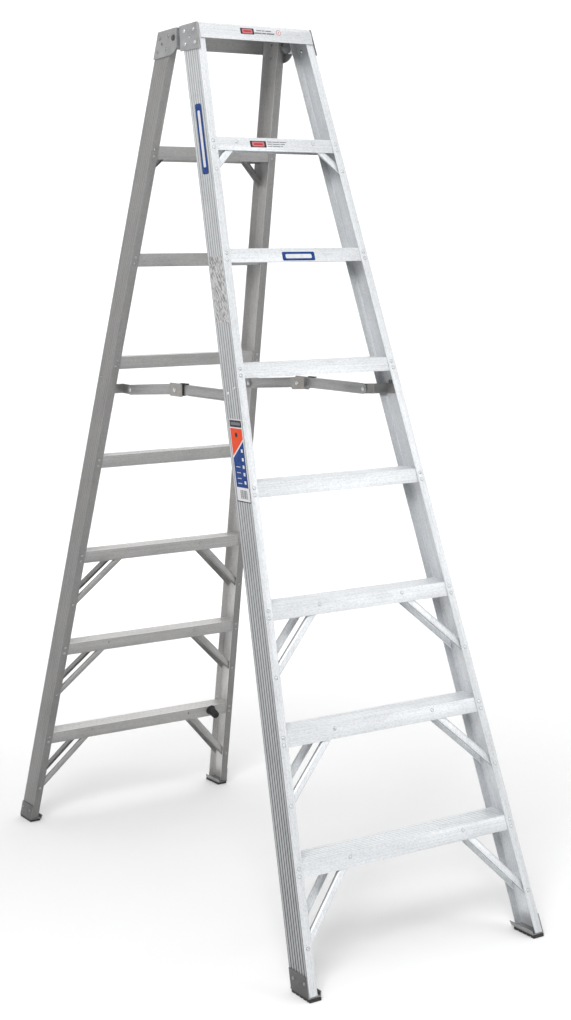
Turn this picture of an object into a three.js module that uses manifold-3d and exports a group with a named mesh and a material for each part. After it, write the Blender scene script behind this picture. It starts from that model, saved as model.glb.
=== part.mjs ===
// Twin-sided aluminium step ladder with a split hinged top cap, millimetres, +Z up.
// X is across the steps, the front section leans toward -Y and the rear section toward +Y.
import * as THREE from 'three';
import { mergeVertices } from 'three/addons/utils/BufferGeometryUtils.js';
import Module from 'manifold-3d';

const wasm = await Module();
wasm.setup();

const FRONT = -1;
const REAR = 1;
const LEFT = -1;
const RIGHT = 1;

// Section planes
const SLOPE = THREE.MathUtils.degToRad(17.58);
const FOOT_Y = 844.3;
const FOOT_HALF_WIDTH = 351.75;
const TAPER = 0.0745;

// Rails
const WEB_DEPTH = 76;
const FLANGE_WIDTH = 22.8;
const WEB_THICKNESS = 2.4;
const FLANGE_THICKNESS = 2.6;
const RAIL_BOTTOM = 11.3;
const RAIL_TOP = 2338;
const WEB_GROOVES = 6;
const GROOVE_DEPTH = 0.8;
const GROOVE_WIDTH = 4.4;

// Steps
const STEP_COUNT = 7;
const STEP_PITCH = 304.8 * Math.cos(SLOPE);
const LOWEST_TREAD = 297.7;
const LIP_HEIGHT = 35.6;
const LIP_THICKNESS = 2;
const LIP_GAP = 0.3;
const TREAD_THICKNESS = 2.8;
const TREAD_RIBS = 7;
const RIB_HEIGHT = 1.2;
const STEP_END_GAP = 0.6;

// Knee braces
const BRACE_WIDTH = 19;
const BRACE_FLANGE = 8;
const BRACE_THICKNESS = 1.8;
const BRACE_CORNER = 4.5;
const LOW_BRACE = { steps: [5, 6, 7], halfSpan: [125.5, 148, 170.8], drop: [153, 152, 172] };
const TOP_BRACE = { halfSpan: 118, drop: 73 };

// Top cap
const CAP_TOP = 2345;
const DECK_THICKNESS = 3;
const CAP_LIP_BOTTOM = 2304;
const CAP_LIP_THICKNESS = 3;
const DECK_SPLIT = 2;
const DECK_RIBS = 6;
const END_PLATE_THICKNESS = 2.5;
const END_PLATE_GAP = 0.3;
const END_PLATE_BOTTOM = 2274;
const END_PLATE_OUTER = -6.5;
const END_PLATE_FLUSH = -3.3;
const END_RETURN = 2.8;
const LIP_SQUARE_END = 171;
const LIP_ROUND_END = 177.3;
const LIP_CORNER = 12;
const INNER_RETURN = 12;

// Fold hinge
const HINGE_Y = 14;
const HINGE_Z = 2319;
const HINGE_PIN_RADIUS = 5;
const RUNNING_CLEARANCE = 0.08;
const LUG_INNER_X = 161;
const LUG_THICKNESS = 4;
const LUG_RADIUS = 11;
const LUG_BOTTOM = 2294;

// Spreaders
const FRONT_PIVOT = { y: -298, z: 1374 };
const REAR_PIVOT = { y: 297, z: 1365 };
const MIDDLE_PIVOT = { y: 0, z: 1380 };
const PLATE = 2.5;
const FRONT_TONGUE_X = 202.2;
const FRONT_LINK_X = 199.4;
const REAR_LINK_X = 196.6;
const REAR_TONGUE_X = 193.8;
const LINK_HEIGHT = 29;
const LINK_LIP = 6;
const LINK_LIP_THICKNESS = 2;
const LIP_FROM_PIVOT = 34;
const LIP_FROM_MIDDLE = 66;
const SPREADER_PIN_RADIUS = 4;
const BRACKET_HEIGHT = 27;
const CLIP_THICKNESS = 2;
const CLIP_ABOVE = 15.5;
const CLIP_BELOW = 20.5;
const CLIP_OVER_REAR = 46;
const CLIP_OVER_FRONT = 26;
const CLIP_CORNER = 5;

// Feet
const PAD_HEIGHT = 8;
const PAD_WIDTH = 31.5;
const SHOE_TOP = 54;
const SHOE_FLOOR = 8.3;
const SHOE_THICKNESS = 2.5;
const TOE_TOP = 20;
const TOE_FLARE = 2.5;
const TOE_OVERRUN = 5;

// Bumper
const BUMPER_X = 251;
const BUMPER_Z = 284;
const BUMPER_RADIUS = 13;
const BUMPER_LENGTH = 35;

const COLOURS = {
  aluminium: { color: 0xc9cdd2, roughness: 0.42, metalness: 0.9 },
  shaded: { color: 0xb4b3b0, roughness: 0.46, metalness: 0.9 },
  steel: { color: 0x9a9ea3, roughness: 0.35, metalness: 1.0 },
  rubber: { color: 0x1a1a1b, roughness: 0.85, metalness: 0.0 },
};

const model = new THREE.Group();
model.name = 'twin_step_ladder';

// Half of the ladder's outside width at a height.
function halfWidth(z) {
  return FOOT_HALF_WIDTH - z * TAPER;
}

// Y of a point at height z, a depth in from a section's outer plane.
function planeY(section, depth, z) {
  return section * (FOOT_Y - z * Math.tan(SLOPE) - depth / Math.cos(SLOPE));
}

// Point inside a rail: inset from the web's outer face, depth from the outer plane.
function railPoint(section, side, inset, depth, z) {
  return new THREE.Vector3(side * (halfWidth(z) - inset), planeY(section, depth, z), z);
}

function treadHeight(step) {
  return LOWEST_TREAD + (STEP_COUNT - step) * STEP_PITCH;
}

// Closed solid between two rings with the same number of points.
function loft(ringA, ringB, outline) {
  if (THREE.ShapeUtils.isClockWise(outline)) {
    return loft(ringA.reverse(), ringB.reverse(), outline.reverse());
  }
  const count = ringA.length;
  const caps = THREE.ShapeUtils.triangulateShape(outline, []);
  const positions = [...ringA, ...ringB].flatMap((p) => [p.x, p.y, p.z]);
  const index = [];
  for (const [a, b, c] of caps) {
    index.push(c, b, a);
    index.push(a + count, b + count, c + count);
  }
  for (let i = 0; i < count; i++) {
    const j = (i + 1) % count;
    index.push(i, j, j + count);
    index.push(i, j + count, i + count);
  }
  const geometry = new THREE.BufferGeometry();
  geometry.setAttribute('position', new THREE.Float32BufferAttribute(positions, 3));
  geometry.setIndex(index);
  return outward(geometry);
}

function signedVolume(geometry) {
  const position = geometry.getAttribute('position');
  const index = geometry.getIndex().array;
  const a = new THREE.Vector3();
  const b = new THREE.Vector3();
  const c = new THREE.Vector3();
  let volume = 0;
  for (let i = 0; i < index.length; i += 3) {
    a.fromBufferAttribute(position, index[i]);
    b.fromBufferAttribute(position, index[i + 1]);
    c.fromBufferAttribute(position, index[i + 2]);
    volume += a.dot(b.cross(c)) / 6;
  }
  return volume;
}

function outward(geometry) {
  if (signedVolume(geometry) >= 0) return geometry;
  const index = geometry.getIndex().array;
  for (let i = 0; i < index.length; i += 3) {
    const swap = index[i];
    index[i] = index[i + 1];
    index[i + 1] = swap;
  }
  return geometry;
}

// Solid with a fixed cross-section in Y and Z, from x0 to x1.
function alongX(profile, x0, x1) {
  const outline = profile.map(([y, z]) => new THREE.Vector2(y, z));
  const ringA = profile.map(([y, z]) => new THREE.Vector3(x0, y, z));
  const ringB = profile.map(([y, z]) => new THREE.Vector3(x1, y, z));
  return loft(ringA, ringB, outline);
}

// Solid that follows a rail: inset and depth outline at two heights.
function alongRail(section, side, profile, z0, z1) {
  const outline = profile.map(([inset, depth]) => new THREE.Vector2(inset, depth));
  const ringA = profile.map(([inset, depth]) => railPoint(section, side, inset, depth, z0));
  const ringB = profile.map(([inset, depth]) => railPoint(section, side, inset, depth, z1));
  return loft(ringA, ringB, outline);
}

// Plate parallel to a rail's web, its outline given in Y and Z.
function againstWeb(side, outline, insetA, insetB) {
  const flat = outline.map(([y, z]) => new THREE.Vector2(y, z));
  const ring = (inset) => outline.map(([y, z]) => new THREE.Vector3(side * (halfWidth(z) - inset), y, z));
  return loft(ring(insetA), ring(insetB), flat);
}

function roundX(y, z, radius, x0, x1, segments = 24) {
  const profile = [];
  for (let i = 0; i < segments; i++) {
    const angle = ((i + 0.5) / segments) * 2 * Math.PI;
    profile.push([y + radius * Math.cos(angle), z + radius * Math.sin(angle)]);
  }
  return alongX(profile, x0, x1);
}

function toSolid(geometry) {
  const clean = geometry.clone();
  clean.deleteAttribute('normal');
  clean.deleteAttribute('uv');
  const merged = mergeVertices(clean, 1e-4);
  const mesh = new wasm.Mesh({
    numProp: 3,
    vertProperties: new Float32Array(merged.getAttribute('position').array),
    triVerts: new Uint32Array(merged.getIndex().array),
  });
  return new wasm.Manifold(mesh);
}

function fromSolid(solid) {
  const mesh = solid.getMesh();
  const geometry = new THREE.BufferGeometry();
  geometry.setAttribute('position', new THREE.Float32BufferAttribute(mesh.vertProperties, 3));
  geometry.setIndex(Array.from(mesh.triVerts));
  return geometry;
}

function join(parts) {
  return fromSolid(parts.map(toSolid).reduce((sum, part) => sum.add(part)));
}

function cut(body, tools) {
  return fromSolid(tools.map(toSolid).reduce((rest, tool) => rest.subtract(tool), toSolid(body)));
}

function place(name, geometry, look) {
  geometry.computeVertexNormals();
  const mesh = new THREE.Mesh(geometry, new THREE.MeshStandardMaterial(COLOURS[look]));
  mesh.name = name;
  model.add(mesh);
}

const sectionName = (section) => (section === FRONT ? 'front' : 'rear');
const sideName = (side) => (side === LEFT ? 'left' : 'right');
const sectionLook = (section) => (section === FRONT ? 'aluminium' : 'shaded');

// C-channel with its flanges turned inward and fine grooves down the web's outer face.
function railProfile() {
  const profile = [
    [0, 0],
    [FLANGE_WIDTH, 0],
    [FLANGE_WIDTH, FLANGE_THICKNESS],
    [WEB_THICKNESS, FLANGE_THICKNESS],
    [WEB_THICKNESS, WEB_DEPTH - FLANGE_THICKNESS],
    [FLANGE_WIDTH, WEB_DEPTH - FLANGE_THICKNESS],
    [FLANGE_WIDTH, WEB_DEPTH],
    [0, WEB_DEPTH],
  ];
  const pitch = WEB_DEPTH / (WEB_GROOVES + 1);
  for (let i = WEB_GROOVES; i >= 1; i--) {
    const centre = i * pitch;
    profile.push([0, centre + GROOVE_WIDTH / 2]);
    profile.push([GROOVE_DEPTH, centre + GROOVE_WIDTH / 4]);
    profile.push([GROOVE_DEPTH, centre - GROOVE_WIDTH / 4]);
    profile.push([0, centre - GROOVE_WIDTH / 2]);
  }
  return profile;
}

function addRail(section, side) {
  const rail = alongRail(section, side, railProfile(), RAIL_BOTTOM, RAIL_TOP);
  place(`rail_${sectionName(section)}_${sideName(side)}`, rail, sectionLook(section));
}

// Channel step: ribbed level tread, a lip behind each pair of flanges.
function stepGeometry(section, step) {
  const top = treadHeight(step);
  const bottom = top - LIP_HEIGHT;
  const outer = FLANGE_THICKNESS + LIP_GAP;
  const inner = WEB_DEPTH - outer;
  const at = (depth, z) => [planeY(section, depth, z), z];
  const profile = [at(outer, bottom), at(outer, top)];
  const pitch = (inner - outer) / TREAD_RIBS;
  for (let i = 1; i < TREAD_RIBS; i++) {
    const groove = outer + i * pitch;
    profile.push(at(groove - 2, top));
    profile.push(at(groove - 1.6, top - RIB_HEIGHT));
    profile.push(at(groove + 1.6, top - RIB_HEIGHT));
    profile.push(at(groove + 2, top));
  }
  profile.push(at(inner, top), at(inner, bottom));
  profile.push(at(inner - LIP_THICKNESS, bottom), at(inner - LIP_THICKNESS, top - TREAD_THICKNESS));
  profile.push(at(outer + LIP_THICKNESS, top - TREAD_THICKNESS), at(outer + LIP_THICKNESS, bottom));
  const halfLength = halfWidth(top) - WEB_THICKNESS - STEP_END_GAP;
  return alongX(profile, -halfLength, halfLength);
}

// Quarter turn about a corner centre, in degrees from and to.
function corner(x, y, radius, from, to) {
  const points = [];
  for (let i = 0; i <= 3; i++) {
    const angle = THREE.MathUtils.degToRad(from + ((to - from) * i) / 3);
    points.push([x + radius * Math.cos(angle), y + radius * Math.sin(angle)]);
  }
  return points;
}

// Shallow channel with rolled corners: across and depth.
function braceProfile() {
  const half = BRACE_WIDTH / 2;
  const centre = half - BRACE_CORNER;
  const inside = BRACE_CORNER - BRACE_THICKNESS;
  return [
    ...corner(-centre, BRACE_CORNER, BRACE_CORNER, 180, 270),
    ...corner(centre, BRACE_CORNER, BRACE_CORNER, 270, 360),
    [half, BRACE_FLANGE],
    [half - BRACE_THICKNESS, BRACE_FLANGE],
    ...corner(centre, BRACE_CORNER, inside, 360, 270),
    ...corner(-centre, BRACE_CORNER, inside, 270, 180),
    [-half + BRACE_THICKNESS, BRACE_FLANGE],
    [-half, BRACE_FLANGE],
  ];
}

// Channel strip from behind a step's lip down to a rail flange.
// It is cut level at its top end and parallel to the web at its foot.
function braceGeometry(section, side, step, halfSpan, drop, fromInside, fused) {
  const start = new THREE.Vector2(halfSpan, treadHeight(step) - 12);
  const footZ = start.y - drop;
  const foot = new THREE.Vector2(halfWidth(footZ) - 11.5, footZ);
  const along = foot.clone().sub(start).normalize();
  const across = new THREE.Vector2(-along.y, along.x);
  const lipFace = FLANGE_THICKNESS + LIP_GAP + LIP_THICKNESS + (fused ? -0.4 : LIP_GAP);
  const topZ = treadHeight(step) - TREAD_THICKNESS - 1;
  const section2d = braceProfile();
  const point = (w, depth, s) => {
    const p = start.clone().addScaledVector(across, w).addScaledVector(along, s);
    const n = fromInside ? WEB_DEPTH - lipFace - depth : lipFace + depth;
    return new THREE.Vector3(side * p.x, planeY(section, n, p.y), p.y);
  };
  const ringTop = section2d.map(([w, d]) => point(w, d, (topZ - start.y - across.y * w) / along.y));
  const ringFoot = section2d.map(([w, d]) => {
    const inset = WEB_THICKNESS + 0.8;
    const reach = FOOT_HALF_WIDTH - inset - (start.x + across.x * w) - TAPER * (start.y + across.y * w);
    return point(w, d, Math.min(reach / (along.x + TAPER * along.y), foot.distanceTo(start) + 14));
  });
  return loft(ringTop, ringFoot, section2d.map(([w, d]) => new THREE.Vector2(w, d)));
}

function bracesOf(step) {
  if (step === 1) return [{ halfSpan: TOP_BRACE.halfSpan, drop: TOP_BRACE.drop, fromInside: false }];
  const i = LOW_BRACE.steps.indexOf(step);
  if (i < 0) return [];
  const brace = { halfSpan: LOW_BRACE.halfSpan[i], drop: LOW_BRACE.drop[i] };
  return [{ ...brace, fromInside: false }, { ...brace, fromInside: true }];
}

// The rear section's knee braces are one body with their step.
function addStep(section, step) {
  const parts = [stepGeometry(section, step)];
  for (const side of [LEFT, RIGHT]) {
    for (const { halfSpan, drop, fromInside } of bracesOf(step)) {
      const brace = braceGeometry(section, side, step, halfSpan, drop, fromInside, section === REAR);
      if (section === REAR) {
        parts.push(brace);
      } else {
        const name = `brace_front_${step}_${fromInside ? 'inner' : 'outer'}_${sideName(side)}`;
        place(name, brace, 'aluminium');
      }
    }
  }
  const whole = parts.length > 1 ? join(parts) : parts[0];
  place(`step_${sectionName(section)}_${step}`, whole, sectionLook(section));
}

// Half of the top cap: ribbed deck with an outer lip; the front half carries the hinge lugs.
function capGeometry(section) {
  const at = (depth, z) => [planeY(section, depth, z), z];
  const outer = -LIP_GAP - CAP_LIP_THICKNESS;
  const edge = section * DECK_SPLIT;
  const profile = [at(outer, CAP_LIP_BOTTOM), at(outer, CAP_TOP)];
  const start = planeY(section, outer, CAP_TOP);
  const pitch = (edge - start) / DECK_RIBS;
  for (let i = 1; i < DECK_RIBS; i++) {
    const centre = start + i * pitch;
    profile.push([centre + section * 2.5, CAP_TOP]);
    profile.push([centre + section * 2, CAP_TOP - 1]);
    profile.push([centre - section * 2, CAP_TOP - 1]);
    profile.push([centre - section * 2.5, CAP_TOP]);
  }
  profile.push([edge, CAP_TOP], [edge, CAP_TOP - DECK_THICKNESS]);
  profile.push(at(-LIP_GAP, CAP_TOP - DECK_THICKNESS), at(-LIP_GAP, CAP_LIP_BOTTOM));
  const cap = alongX(profile, -section * LIP_ROUND_END, section * (halfWidth(CAP_TOP) - 0.2));
  return cut(cap, [lipCorner(section), lipEnd(section)]);
}

// Solid between two depths behind a section's outer plane, its outline given in X and Z.
function throughFace(section, outline, depthA, depthB) {
  const flat = outline.map(([x, z]) => new THREE.Vector2(x, z));
  const ring = (depth) => outline.map(([x, z]) => new THREE.Vector3(x, planeY(section, depth, z), z));
  return loft(ring(depthA), ring(depthB), flat);
}

// What a rounded top corner takes away from the cap at one end of its lip.
function lipCorner(section) {
  const end = -section * LIP_ROUND_END;
  const turn = Math.sign(end);
  const outline = [[end + turn, CAP_TOP + 1], [end - turn * LIP_CORNER, CAP_TOP + 1]];
  for (let i = 0; i <= 8; i++) {
    const angle = (Math.PI / 2) * (1 - i / 8);
    const x = end - turn * LIP_CORNER * (1 - Math.cos(angle));
    outline.push([x, CAP_TOP - LIP_CORNER * (1 - Math.sin(angle))]);
  }
  outline.push([end + turn, CAP_TOP - LIP_CORNER]);
  return throughFace(section, outline, -8, 5);
}

// The lip's square end stops short of the end plate's return.
function lipEnd(section) {
  const end = section * LIP_SQUARE_END;
  const outline = [
    [end, CAP_LIP_BOTTOM - 1],
    [end, CAP_TOP + 1],
    [section * 190, CAP_TOP + 1],
    [section * 190, CAP_LIP_BOTTOM - 1],
  ];
  return throughFace(section, outline, -8, -LIP_GAP / 2);
}

// Lug under the front deck that takes the fold pin.
function hingeLug(side) {
  const x0 = side * LUG_INNER_X;
  const x1 = side * (LUG_INNER_X + LUG_THICKNESS);
  const web = [
    [-20, CAP_TOP - DECK_THICKNESS + 1],
    [-26, LUG_BOTTOM + 12],
    [-20, LUG_BOTTOM],
    [3, LUG_BOTTOM],
    [HINGE_Y + 8, HINGE_Z - 6],
    [HINGE_Y + 4, HINGE_Z + 8],
    [-3, CAP_TOP - DECK_THICKNESS + 1],
  ];
  return [alongX(web, x0, x1), roundX(HINGE_Y, HINGE_Z, LUG_RADIUS, x0, x1)];
}

function addCap(section) {
  let cap = capGeometry(section);
  if (section === FRONT) {
    const lugs = [LEFT, RIGHT].flatMap(hingeLug);
    const bore = HINGE_PIN_RADIUS + RUNNING_CLEARANCE;
    const bores = [LEFT, RIGHT].map((side) => roundX(HINGE_Y, HINGE_Z, bore, side * 150, side * 170));
    cap = cut(join([cap, ...lugs]), bores);
  }
  place(`cap_${sectionName(section)}`, cap, sectionLook(section));
}

// An end plate returns over its flange only beside the lip's square end.
function hasReturn(section, side) {
  return side === section;
}

// Depth of an end plate's outer edge: past the lip where it returns, flush with it elsewhere.
function plateEdge(section, side) {
  return hasReturn(section, side) ? END_PLATE_OUTER : END_PLATE_FLUSH;
}

// Plate riveted outside a rail's web.
function frontEndPlate(side) {
  const at = (depth, z) => [planeY(FRONT, depth, z), z];
  const edge = plateEdge(FRONT, side);
  const outline = [
    at(edge, END_PLATE_BOTTOM),
    at(edge, CAP_TOP),
    [-17, CAP_TOP],
    [-28, END_PLATE_BOTTOM + 3],
  ];
  const parts = [againstWeb(side, outline, -END_PLATE_GAP - END_PLATE_THICKNESS, -END_PLATE_GAP)];
  if (hasReturn(FRONT, side)) parts.push(outerReturn(FRONT, side));
  return join(parts);
}

function outerReturn(section, side) {
  const profile = [
    [-END_PLATE_GAP - END_PLATE_THICKNESS, END_PLATE_OUTER],
    [END_RETURN, END_PLATE_OUTER],
    [END_RETURN, END_PLATE_OUTER + END_PLATE_THICKNESS],
    [-END_PLATE_GAP - END_PLATE_THICKNESS, END_PLATE_OUTER + END_PLATE_THICKNESS],
  ];
  return alongRail(section, side, profile, END_PLATE_BOTTOM, CAP_TOP);
}

// The rear plate reaches the fold line, where its edge is returned inward, and holds the fold pin.
function rearEndPlate(side) {
  const at = (depth, z) => [planeY(REAR, depth, z), z];
  const edge = plateEdge(REAR, side);
  const edgeTop = [1, CAP_TOP - DECK_THICKNESS - 1];
  const edgeLow = [-4, 2293];
  const outline = [
    at(edge, END_PLATE_BOTTOM),
    [38, END_PLATE_BOTTOM],
    [26, 2276],
    [14, 2280],
    [4, 2286],
    edgeLow,
    edgeTop,
    [DECK_SPLIT, CAP_TOP],
    at(edge, CAP_TOP),
  ];
  const fold = [
    edgeLow,
    edgeTop,
    [edgeTop[0] + END_PLATE_THICKNESS, edgeTop[1]],
    [edgeLow[0] + END_PLATE_THICKNESS, edgeLow[1]],
  ];
  const parts = [
    againstWeb(side, outline, -END_PLATE_GAP - END_PLATE_THICKNESS, -END_PLATE_GAP),
    againstWeb(side, fold, -END_PLATE_GAP - END_PLATE_THICKNESS, INNER_RETURN),
  ];
  if (hasReturn(REAR, side)) parts.push(outerReturn(REAR, side));
  const bore = roundX(HINGE_Y, HINGE_Z, HINGE_PIN_RADIUS + RUNNING_CLEARANCE, side * 172, side * 190);
  return cut(join(parts), [bore]);
}

function addEndPlates() {
  for (const side of [LEFT, RIGHT]) {
    place(`end_plate_front_${sideName(side)}`, frontEndPlate(side), 'aluminium');
    place(`end_plate_rear_${sideName(side)}`, rearEndPlate(side), 'shaded');
  }
}

function addHingePins() {
  for (const side of [LEFT, RIGHT]) {
    const shank = roundX(HINGE_Y, HINGE_Z, HINGE_PIN_RADIUS, side * 159, side * 183.4);
    const head = roundX(HINGE_Y, HINGE_Z, 8, side * 183, side * 185.2);
    place(`hinge_pin_${sideName(side)}`, join([shank, head]), 'steel');
  }
}

// Joggled plate: base on the web, arm toward the middle, tongue with the link's pivot.
function addBracket(section, side) {
  const pivot = section === FRONT ? FRONT_PIVOT : REAR_PIVOT;
  const tongueX = section === FRONT ? FRONT_TONGUE_X : REAR_TONGUE_X;
  const z0 = pivot.z - BRACKET_HEIGHT / 2 + 2;
  const z1 = pivot.z + BRACKET_HEIGHT / 2 + 2;
  const inset = WEB_THICKNESS + 0.3;
  const base = [
    [inset, 22],
    [inset + PLATE, 22],
    [inset + PLATE, 59],
    [inset, 59],
  ];
  const armDepth = 59;
  const armY = planeY(section, armDepth, pivot.z);
  const webX = halfWidth(z1) - inset;
  const arm = [
    [armY, z0],
    [armY - section * PLATE, z0],
    [armY - section * PLATE, z1],
    [armY, z1],
  ];
  const tongue = [
    [armY, z0],
    [armY, z1],
    [pivot.y, pivot.z + BRACKET_HEIGHT / 2],
    [pivot.y, pivot.z - BRACKET_HEIGHT / 2],
  ];
  const pinStart = section === FRONT ? FRONT_TONGUE_X + 0.5 : REAR_TONGUE_X + PLATE - 0.5;
  const pinEnd = section === FRONT ? FRONT_LINK_X - 0.1 : REAR_LINK_X + PLATE + 0.1;
  const bracket = join([
    alongRail(section, side, base, z0, z1),
    alongX(arm, side * tongueX, side * (webX - 0.5)),
    alongX(tongue, side * tongueX, side * (tongueX + PLATE)),
    roundX(pivot.y, pivot.z, BRACKET_HEIGHT / 2, side * tongueX, side * (tongueX + PLATE)),
    roundX(pivot.y, pivot.z, SPREADER_PIN_RADIUS, side * pinStart, side * pinEnd),
  ]);
  place(`spreader_bracket_${sectionName(section)}_${sideName(side)}`, bracket, 'steel');
}

// Straight bar between two pivots with rounded ends, in Y and Z.
function barProfile(from, to, height) {
  const direction = new THREE.Vector2(to.y - from.y, to.z - from.z).normalize();
  const base = Math.atan2(direction.y, direction.x);
  const profile = [];
  for (let i = 0; i <= 8; i++) {
    const angle = base - Math.PI / 2 + (Math.PI * i) / 8;
    profile.push([to.y + (height / 2) * Math.cos(angle), to.z + (height / 2) * Math.sin(angle)]);
  }
  for (let i = 0; i <= 8; i++) {
    const angle = base + Math.PI / 2 + (Math.PI * i) / 8;
    profile.push([from.y + (height / 2) * Math.cos(angle), from.z + (height / 2) * Math.sin(angle)]);
  }
  return profile;
}

// Y and Z of a point given along and across the line between two pivots.
function besideLink(from, to, [s, h]) {
  const along = new THREE.Vector2(to.y - from.y, to.z - from.z).normalize();
  return [from.y + along.x * s - along.y * h, from.z + along.y * s + along.x * h];
}

// Strip beside a link's axis, between two distances from its pivot.
function stripProfile(from, to, [start, end], [low, high]) {
  const outline = [
    [start, low],
    [end, low],
    [end, high],
    [start, high],
  ];
  return outline.map((point) => besideLink(from, to, point));
}

// X from and to of a link's lips: outboard on the front links, inboard on the rear ones.
function linkLipX(section, plateX) {
  if (section === FRONT) return [plateX + PLATE - 0.5, plateX + PLATE + LINK_LIP];
  return [plateX - LINK_LIP, plateX + 0.5];
}

function addLink(section, side) {
  const pivot = section === FRONT ? FRONT_PIVOT : REAR_PIVOT;
  const plateX = section === FRONT ? FRONT_LINK_X : REAR_LINK_X;
  const length = Math.hypot(MIDDLE_PIVOT.y - pivot.y, MIDDLE_PIVOT.z - pivot.z);
  const [lipStart, lipEndX] = linkLipX(section, plateX);
  const bar = barProfile(pivot, MIDDLE_PIVOT, LINK_HEIGHT);
  const parts = [alongX(bar, side * plateX, side * (plateX + PLATE))];
  const reach = [LIP_FROM_PIVOT, length - LIP_FROM_MIDDLE];
  const half = LINK_HEIGHT / 2;
  for (const band of [[-half, LINK_LIP_THICKNESS - half], [half - LINK_LIP_THICKNESS, half]]) {
    const lip = stripProfile(pivot, MIDDLE_PIVOT, reach, band);
    parts.push(alongX(lip, side * lipStart, side * lipEndX));
  }
  const bore = roundX(pivot.y, pivot.z, SPREADER_PIN_RADIUS + RUNNING_CLEARANCE, side * 190, side * 206);
  const link = cut(join(parts), [bore]);
  place(`spreader_link_${sectionName(section)}_${sideName(side)}`, link, 'aluminium');
}

// Round-cornered plate over the middle joint, outside the links; it rides on the front link.
function addClip(side) {
  const x = FRONT_LINK_X + PLATE + 0.3;
  const r = CLIP_CORNER;
  const [front, rear] = [CLIP_OVER_FRONT - r, r - CLIP_OVER_REAR];
  const [below, above] = [CLIP_BELOW - r, r - CLIP_ABOVE];
  const outline = [
    ...corner(front, above, r, 270, 360),
    ...corner(front, below, r, 0, 90),
    ...corner(rear, below, r, 90, 180),
    ...corner(rear, above, r, 180, 270),
  ].map((point) => besideLink(MIDDLE_PIVOT, FRONT_PIVOT, point));
  const plate = alongX(outline, side * x, side * (x + CLIP_THICKNESS));
  place(`spreader_clip_outer_${sideName(side)}`, plate, 'steel');
}

// Folded shoe: plate outside the web, floor under the rail, toe turned up at the inboard edge.
function addFoot(section, side) {
  const web = -END_PLATE_GAP;
  const outer = [
    [web - SHOE_THICKNESS, 0],
    [web, 0],
    [web, WEB_DEPTH - 2],
    [web - SHOE_THICKNESS, WEB_DEPTH - 2],
  ];
  const floorOutline = [
    [web - SHOE_THICKNESS, 0],
    [PAD_WIDTH, 0],
    [PAD_WIDTH, WEB_DEPTH + TOE_OVERRUN],
    [web - SHOE_THICKNESS, WEB_DEPTH],
  ];
  const shoe = join([
    alongRail(section, side, outer, SHOE_FLOOR, SHOE_TOP),
    alongRail(section, side, floorOutline, SHOE_FLOOR, SHOE_FLOOR + SHOE_THICKNESS),
    toeGeometry(section, side),
  ]);
  place(`shoe_${sectionName(section)}_${sideName(side)}`, shoe, 'steel');
  place(`tread_${sectionName(section)}_${sideName(side)}`, treadGeometry(section, side), 'rubber');
}

// Upstand along the floor's inboard edge, leaning inboard.
function toeGeometry(section, side) {
  const ring = (lean, z) =>
    [
      [PAD_WIDTH - SHOE_THICKNESS, 0],
      [PAD_WIDTH, 0],
      [PAD_WIDTH, WEB_DEPTH + TOE_OVERRUN],
      [PAD_WIDTH - SHOE_THICKNESS, WEB_DEPTH + TOE_OVERRUN],
    ].map(([inset, depth]) => railPoint(section, side, inset + lean, depth, z));
  const outline = ring(0, 0).map((p) => new THREE.Vector2(p.x, p.y));
  return loft(ring(0, SHOE_FLOOR), ring(TOE_FLARE, TOE_TOP), outline);
}

// Rubber pad with cross grooves in its sole.
function treadGeometry(section, side) {
  const far = planeY(section, 0, 0);
  const near = planeY(section, WEB_DEPTH, 0);
  const profile = [
    [near, 0],
    [near, PAD_HEIGHT],
    [far, PAD_HEIGHT],
    [far, 0],
  ];
  const grooves = 4;
  for (let i = 1; i <= grooves; i++) {
    const centre = far + ((near - far) * i) / (grooves + 1);
    const step = Math.sign(near - far);
    profile.push([centre - step * 2.5, 0], [centre - step * 1.5, 2.5]);
    profile.push([centre + step * 1.5, 2.5], [centre + step * 2.5, 0]);
  }
  return alongX(profile, side * (FOOT_HALF_WIDTH + 1), side * (FOOT_HALF_WIDTH - PAD_WIDTH));
}

// Buffer on the rear section's lowest step that meets the front section when folded.
function addBumper() {
  const inward = new THREE.Vector3(0, -Math.cos(SLOPE), -Math.sin(SLOPE));
  const up = new THREE.Vector3(0, -Math.sin(SLOPE), Math.cos(SLOPE));
  const lip = planeY(REAR, WEB_DEPTH - FLANGE_THICKNESS, BUMPER_Z);
  const centre = new THREE.Vector3(BUMPER_X, lip, BUMPER_Z);
  const ringAt = (distance, radius) => {
    const ring = [];
    for (let i = 0; i < 16; i++) {
      const angle = (i / 16) * 2 * Math.PI;
      const p = centre.clone().addScaledVector(inward, distance);
      p.x += radius * Math.cos(angle);
      p.addScaledVector(up, radius * Math.sin(angle));
      ring.push(p);
    }
    return ring;
  };
  const circle = ringAt(0, BUMPER_RADIUS).map((p, i) => {
    const angle = (i / 16) * 2 * Math.PI;
    return new THREE.Vector2(Math.cos(angle), Math.sin(angle));
  });
  place('bumper', loft(ringAt(0, BUMPER_RADIUS), ringAt(BUMPER_LENGTH, BUMPER_RADIUS - 1), circle), 'rubber');
}

for (const section of [FRONT, REAR]) {
  for (const side of [LEFT, RIGHT]) {
    addRail(section, side);
    addFoot(section, side);
    addBracket(section, side);
    addLink(section, side);
  }
  for (let step = 1; step <= STEP_COUNT; step++) {
    addStep(section, step);
  }
  addCap(section);
}
addEndPlates();
addHingePins();
addClip(LEFT);
addClip(RIGHT);
addBumper();

export default model;
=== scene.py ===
import math

import bmesh
import bpy
from mathutils import Matrix, Vector


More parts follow.
